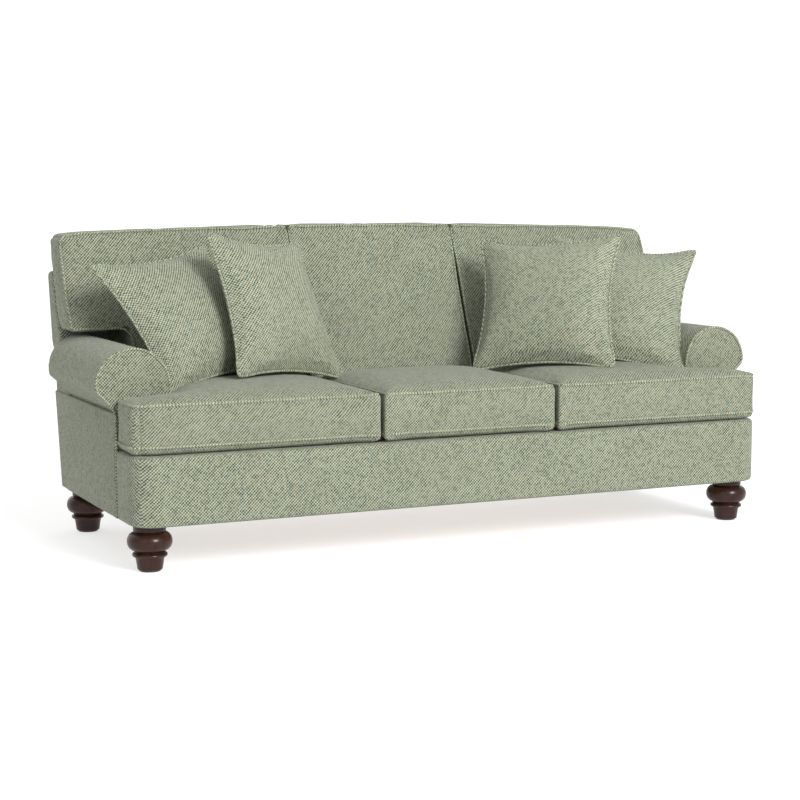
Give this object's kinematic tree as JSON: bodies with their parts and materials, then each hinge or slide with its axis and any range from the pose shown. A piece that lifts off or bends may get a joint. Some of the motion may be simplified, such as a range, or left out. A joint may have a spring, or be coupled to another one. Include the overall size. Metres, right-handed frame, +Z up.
{
  "type": "sofa bed",
  "caption": "Pull-out sofa bed with rolled arms, loose welted seat and back cushions, scatter pillows, turned bun feet and a slatted deck that slides forward to make a bed.",
  "frame": {"origin": "on the floor under the middle of the sofa's box", "axes": "+X to the sitter-facing viewer's right along the sofa, front towards -Y, +Z up"},
  "size_m": [2.2342, 0.9397, 0.9649],
  "materials": {
    "upholstery": "sage green tweed weave",
    "cushion_cover": "sage green tweed weave, welted",
    "pillow_cover": "sage green tweed weave, welted",
    "foot_wood": "espresso stain, gloss lacquer",
    "glide_nylon": "moulded nylon",
    "timber": "plain planed beech",
    "channel_steel": "rolled steel, zinc plated"
  },
  "bodies": {
    "sofa_frame": {"back_frame": "upholstery", "left_arm": "upholstery", "right_arm": "upholstery", "middle_crossbar": "timber", "rear_cleat": "timber", "left_channel": "channel_steel", "right_channel": "channel_steel", "rear_slat_1": "timber", "rear_slat_2": "timber", "rear_slat_3": "timber", "rear_slat_4": "timber", "rear_slat_5": "timber", "rear_slat_6": "timber", "rear_slat_7": "timber", "rear_left_foot": "foot_wood", "rear_right_foot": "foot_wood", "rear_left_glide": "glide_nylon", "rear_right_glide": "glide_nylon"},
    "pull_out_front": {"front_border": "upholstery", "front_rail": "timber", "left_corner_block": "timber", "right_corner_block": "timber", "front_cleat": "timber", "left_runner": "timber", "right_runner": "timber", "front_slat_1": "timber", "front_slat_2": "timber", "front_slat_3": "timber", "front_slat_4": "timber", "front_slat_5": "timber", "front_slat_6": "timber", "front_left_foot": "foot_wood", "front_right_foot": "foot_wood", "front_left_glide": "glide_nylon", "front_right_glide": "glide_nylon"},
    "middle_seat_cushion": {"middle_seat_cushion": "cushion_cover"},
    "left_seat_cushion": {"left_seat_cushion": "cushion_cover"},
    "right_seat_cushion": {"right_seat_cushion": "cushion_cover"},
    "left_end_pillow": {"left_end_pillow": "pillow_cover"},
    "left_front_pillow": {"left_front_pillow": "pillow_cover"},
    "right_end_pillow": {"right_end_pillow": "pillow_cover"},
    "right_front_pillow": {"right_front_pillow": "pillow_cover"},
    "left_back_cushion": {"left_back_cushion": "cushion_cover"},
    "middle_back_cushion": {"middle_back_cushion": "cushion_cover"},
    "right_back_cushion": {"right_back_cushion": "cushion_cover"}
  },
  "joints": [
    {"name": "pull_out", "type": "slide", "parent": "sofa_frame", "child": "pull_out_front", "axis": [0, -1, 0], "range_m": [0, 0.5]},
    {"name": "middle_seat_lift", "type": "slide", "parent": "pull_out_front", "child": "middle_seat_cushion", "axis": [0, 0, 1], "range_m": [0, 0.25]},
    {"name": "left_seat_lift", "type": "slide", "parent": "pull_out_front", "child": "left_seat_cushion", "axis": [0, 0, 1], "range_m": [0, 0.25]},
    {"name": "right_seat_lift", "type": "slide", "parent": "pull_out_front", "child": "right_seat_cushion", "axis": [0, 0, 1], "range_m": [0, 0.25]},
    {"name": "left_end_pillow_lift", "type": "slide", "parent": "left_seat_cushion", "child": "left_end_pillow", "axis": [0, 0, 1], "range_m": [0, 0.1]},
    {"name": "left_front_pillow_lift", "type": "slide", "parent": "left_seat_cushion", "child": "left_front_pillow", "axis": [0, 0, 1], "range_m": [0, 0.1]},
    {"name": "right_end_pillow_lift", "type": "slide", "parent": "right_seat_cushion", "child": "right_end_pillow", "axis": [0, 0, 1], "range_m": [0, 0.1]},
    {"name": "right_front_pillow_lift", "type": "slide", "parent": "right_seat_cushion", "child": "right_front_pillow", "axis": [0, 0, 1], "range_m": [0, 0.1]},
    {"name": "left_back_lift", "type": "slide", "parent": "sofa_frame", "child": "left_back_cushion", "axis": [0, 0.3843, 0.9232], "range_m": [0, 0.2]},
    {"name": "middle_back_lift", "type": "slide", "parent": "sofa_frame", "child": "middle_back_cushion", "axis": [0, 0.3843, 0.9232], "range_m": [0, 0.2]},
    {"name": "right_back_lift", "type": "slide", "parent": "sofa_frame", "child": "right_back_cushion", "axis": [0, 0.3843, 0.9232], "range_m": [0, 0.2]}
  ],
  "couplings": [
    {"joint": "left_seat_lift", "follows": "middle_seat_lift", "ratio": 1},
    {"joint": "right_seat_lift", "follows": "middle_seat_lift", "ratio": 1},
    {"joint": "left_end_pillow_lift", "follows": "middle_seat_lift", "ratio": 0.4},
    {"joint": "left_front_pillow_lift", "follows": "middle_seat_lift", "ratio": 0.4},
    {"joint": "right_end_pillow_lift", "follows": "middle_seat_lift", "ratio": 0.4},
    {"joint": "right_front_pillow_lift", "follows": "middle_seat_lift", "ratio": 0.4},
    {"joint": "left_back_lift", "follows": "middle_seat_lift", "ratio": 0.8},
    {"joint": "middle_back_lift", "follows": "middle_seat_lift", "ratio": 0.8},
    {"joint": "right_back_lift", "follows": "middle_seat_lift", "ratio": 0.8}
  ]
}
